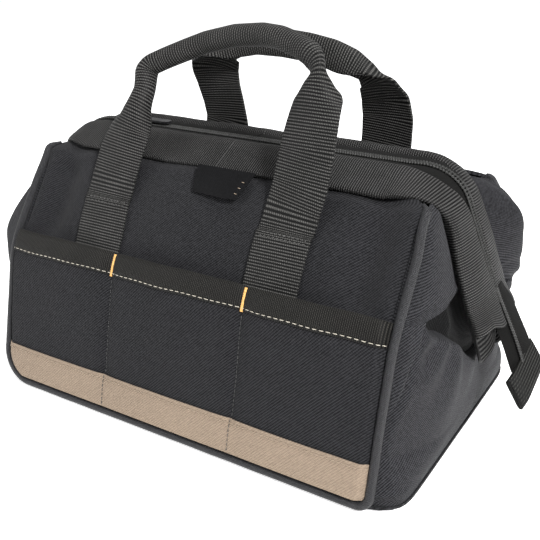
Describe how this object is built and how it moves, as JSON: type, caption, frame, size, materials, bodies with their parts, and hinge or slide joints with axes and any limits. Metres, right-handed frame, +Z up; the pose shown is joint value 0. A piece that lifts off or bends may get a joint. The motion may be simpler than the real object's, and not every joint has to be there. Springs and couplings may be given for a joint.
{
  "type": "zippered tool bag",
  "caption": "Wide-mouth zippered tool bag of black polyester with webbing tube handles, outside pockets, a tan foot strip and a hinged wire mouth frame.",
  "frame": {"origin": "on the floor under the middle of the base", "axes": "+X towards the right end of the bag, -Y towards its front, +Z up"},
  "size_m": [0.4202, 0.2322, 0.2636],
  "materials": {
    "cloth": "matt woven polyester",
    "end_cloth": "matt woven polyester",
    "webbing": "ribbed webbing",
    "binding": "ribbed binding tape",
    "tan": "matt woven strip",
    "thread": "satin stitch thread",
    "zipper": "zipper tape with nylon coil",
    "patch": "blank woven patch",
    "board": "stiffening board",
    "steel": "plated"
  },
  "bodies": {
    "base": {"bottom_panel": "cloth", "base_board": "board", "right_end_panel": "end_cloth", "left_end_panel": "end_cloth"},
    "front_wall": {"front_panel": "cloth", "front_piping": "cloth", "front_pocket_panel": "cloth", "front_pocket_binding": "binding", "front_left_bartack": "thread", "front_right_bartack": "thread", "front_kick_strip": "tan", "front_left_handle_anchor": "webbing", "front_right_handle_anchor": "webbing", "front_top_sleeve": "webbing", "front_zipper_tape": "zipper", "front_zipper_coil": "zipper", "right_front_gusset": "end_cloth", "left_front_gusset": "end_cloth", "front_patch": "patch"},
    "back_wall": {"back_panel": "cloth", "back_piping": "cloth", "back_pocket_panel": "cloth", "back_pocket_binding": "binding", "back_left_bartack": "thread", "back_right_bartack": "thread", "back_kick_strip": "tan", "back_left_handle_anchor": "webbing", "back_right_handle_anchor": "webbing", "back_top_sleeve": "webbing", "back_zipper_tape": "zipper", "back_zipper_coil": "zipper", "right_back_gusset": "end_cloth", "left_back_gusset": "end_cloth"},
    "front_frame": {"front_frame_wire": "steel", "front_right_leg_sleeve": "webbing", "front_right_zipper_side": "zipper", "front_left_leg_sleeve": "webbing", "front_left_zipper_side": "zipper"},
    "back_frame": {"back_frame_wire": "steel", "back_right_leg_sleeve": "webbing", "back_right_zipper_side": "zipper", "back_left_leg_sleeve": "webbing", "back_left_zipper_side": "zipper"},
    "front_handle_body": {"front_handle": "webbing"},
    "back_handle_body": {"back_handle": "webbing"},
    "slider": {"zipper_slider": "steel"},
    "pull": {"zipper_pull": "steel"},
    "right_end": {"right_inner_gusset": "end_cloth"},
    "left_end": {"left_inner_gusset": "end_cloth"},
    "right_tail": {"right_zipper_tail": "zipper", "right_zipper_tab": "webbing"},
    "left_tail": {"left_zipper_tail": "zipper", "left_zipper_tab": "webbing"}
  },
  "joints": [
    {"name": "front_wall_hinge", "type": "hinge", "parent": "base", "child": "front_wall", "pos_m": [0, -0.113, 0.003], "axis": [1, 0, 0], "range_deg": [0, 22]},
    {"name": "back_wall_hinge", "type": "hinge", "parent": "base", "child": "back_wall", "pos_m": [0, 0.113, 0.003], "axis": [-1, 0, 0], "range_deg": [0, 22]},
    {"name": "front_frame_hinge", "type": "hinge", "parent": "front_wall", "child": "front_frame", "pos_m": [0, -0.02, 0.18], "axis": [1, 0, 0], "range_deg": [0, 20.9]},
    {"name": "back_frame_hinge", "type": "hinge", "parent": "back_wall", "child": "back_frame", "pos_m": [0, 0.02, 0.18], "axis": [-1, 0, 0], "range_deg": [0, 20.9]},
    {"name": "right_end_rise", "type": "slide", "parent": "base", "child": "right_end", "axis": [0, 0, 1], "range_m": [0, 0.0475]},
    {"name": "left_end_rise", "type": "slide", "parent": "base", "child": "left_end", "axis": [0, 0, 1], "range_m": [0, 0.0475]},
    {"name": "right_tail_hinge", "type": "hinge", "parent": "right_end", "child": "right_tail", "pos_m": [0.18571, 0, 0.104], "axis": [0, -1, 0], "range_deg": [0, 60]},
    {"name": "left_tail_hinge", "type": "hinge", "parent": "left_end", "child": "left_tail", "pos_m": [-0.18571, 0, 0.104], "axis": [0, 1, 0], "range_deg": [0, 60]},
    {"name": "front_handle_hinge", "type": "hinge", "parent": "front_wall", "child": "front_handle_body", "pos_m": [0, -0.06641, 0.14558], "axis": [1, 0, 0], "range_deg": [0, 148]},
    {"name": "back_handle_hinge", "type": "hinge", "parent": "back_wall", "child": "back_handle_body", "pos_m": [0, 0.06641, 0.14558], "axis": [-1, 0, 0], "range_deg": [0, 148]},
    {"name": "slider_travel", "type": "slide", "parent": "front_wall", "child": "slider", "axis": [1, 0, 0], "range_m": [0, 0.208]},
    {"name": "pull_hinge", "type": "hinge", "parent": "slider", "child": "pull", "pos_m": [-0.103, 0, 0.1851], "axis": [0, -1, 0], "range_deg": [0, 180]}
  ],
  "couplings": [
    {"joint": "back_wall_hinge", "follows": "front_wall_hinge", "ratio": 1},
    {"joint": "front_frame_hinge", "follows": "front_wall_hinge", "ratio": 0.95},
    {"joint": "back_frame_hinge", "follows": "front_wall_hinge", "ratio": 0.95},
    {"joint": "right_end_rise", "follows": "front_wall_hinge", "m_per_rad": 0.1237},
    {"joint": "left_end_rise", "follows": "front_wall_hinge", "m_per_rad": 0.1237}
  ]
}
